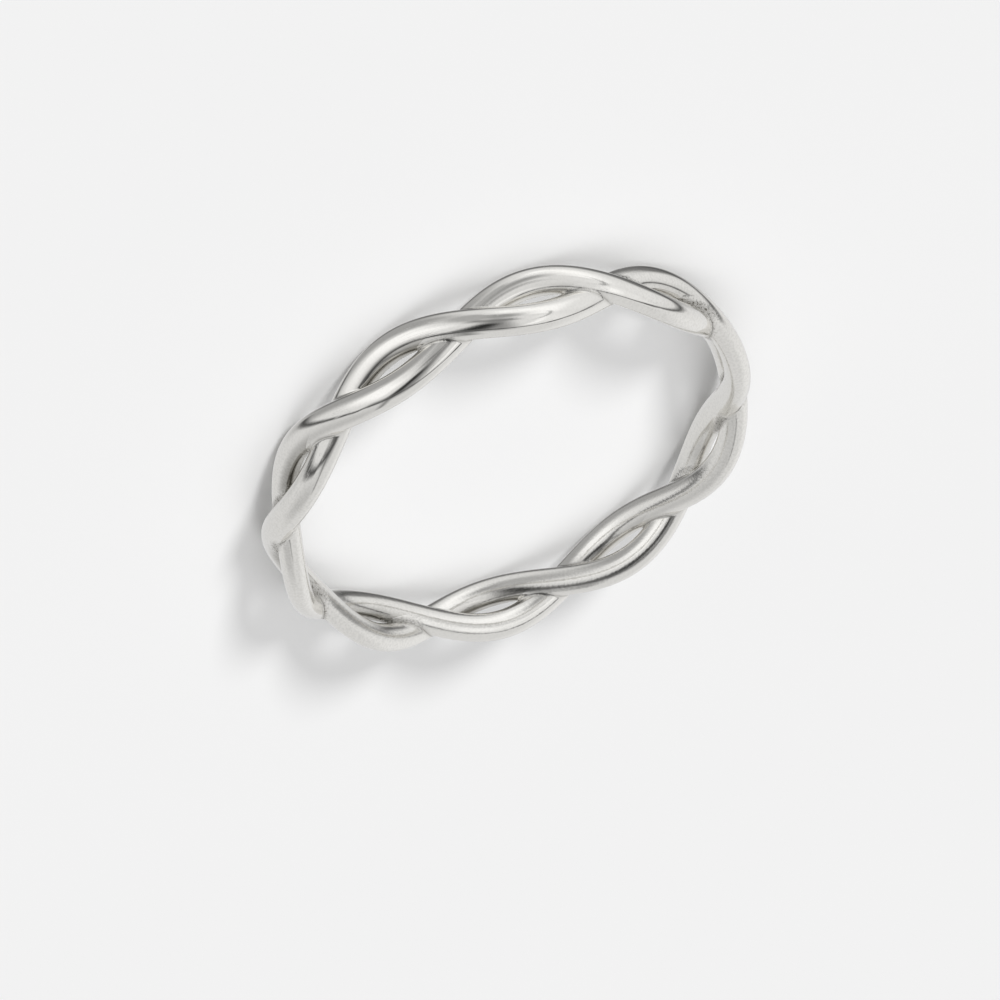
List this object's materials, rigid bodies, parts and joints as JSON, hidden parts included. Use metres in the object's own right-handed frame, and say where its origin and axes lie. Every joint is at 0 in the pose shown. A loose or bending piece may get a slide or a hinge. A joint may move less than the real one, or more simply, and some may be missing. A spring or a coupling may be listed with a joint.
{
  "type": "twisted band ring",
  "caption": "Slim open finger ring: a pair of smooth polished strands twisted round each other and soldered where they cross, with a small eye-shaped opening between crossings.",
  "frame": {"origin": "on the axis of the finger hole, on the surface that the ring lies on", "axes": "+Z along the axis of the finger hole, upwards as the ring lies; +X through a crossing of the strands"},
  "size_m": [0.02, 0.0196, 0.0028],
  "materials": {
    "silver": "bright polish with fine wear scratches"
  },
  "bodies": {
    "root": {"twisted_band": "silver"}
  },
  "joints": []
}
